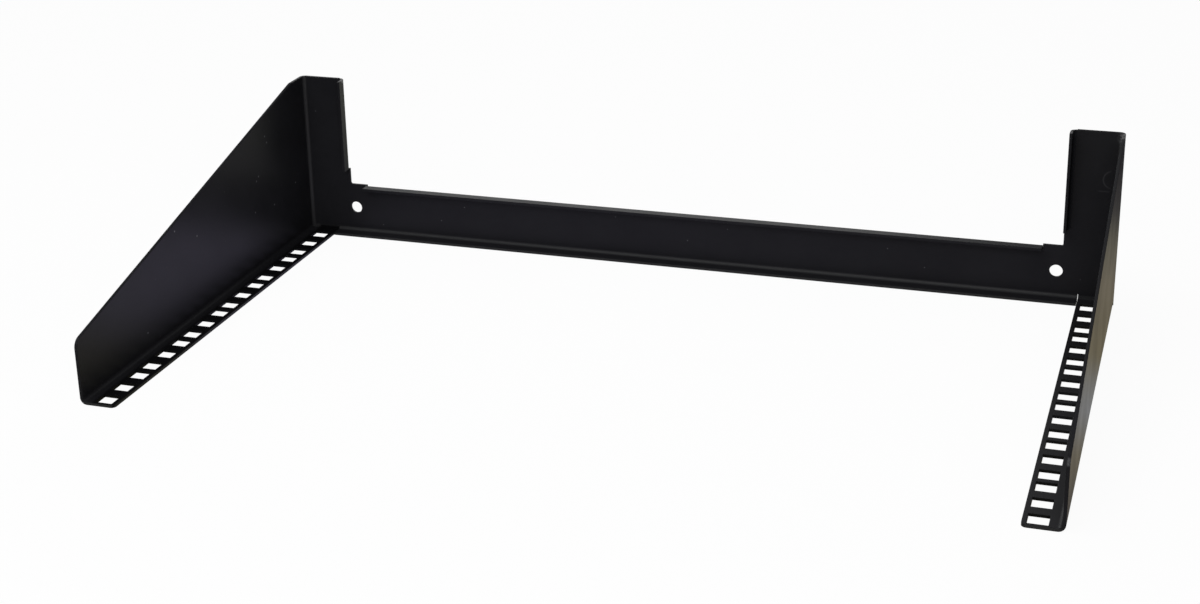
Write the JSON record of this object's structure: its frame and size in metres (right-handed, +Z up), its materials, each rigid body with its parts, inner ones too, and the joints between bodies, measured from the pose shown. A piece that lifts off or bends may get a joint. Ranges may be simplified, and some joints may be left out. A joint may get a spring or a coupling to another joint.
{
  "type": "wall mount open frame rack",
  "caption": "Open rack frame folded from one black steel sheet: a slotted crossbar back plate with two arms, tapered side plates, and two rails with square holes.",
  "frame": {"origin": "middle of the footprint, at the height of the rails' undersides", "axes": "+X to the right seen from the front, +Y into the wall, +Z up along the arms"},
  "size_m": [0.4898, 0.275, 0.0991],
  "materials": {
    "powder_coat": "black satin powder coat"
  },
  "bodies": {
    "root": {"rack_frame": "powder_coat"}
  },
  "joints": []
}
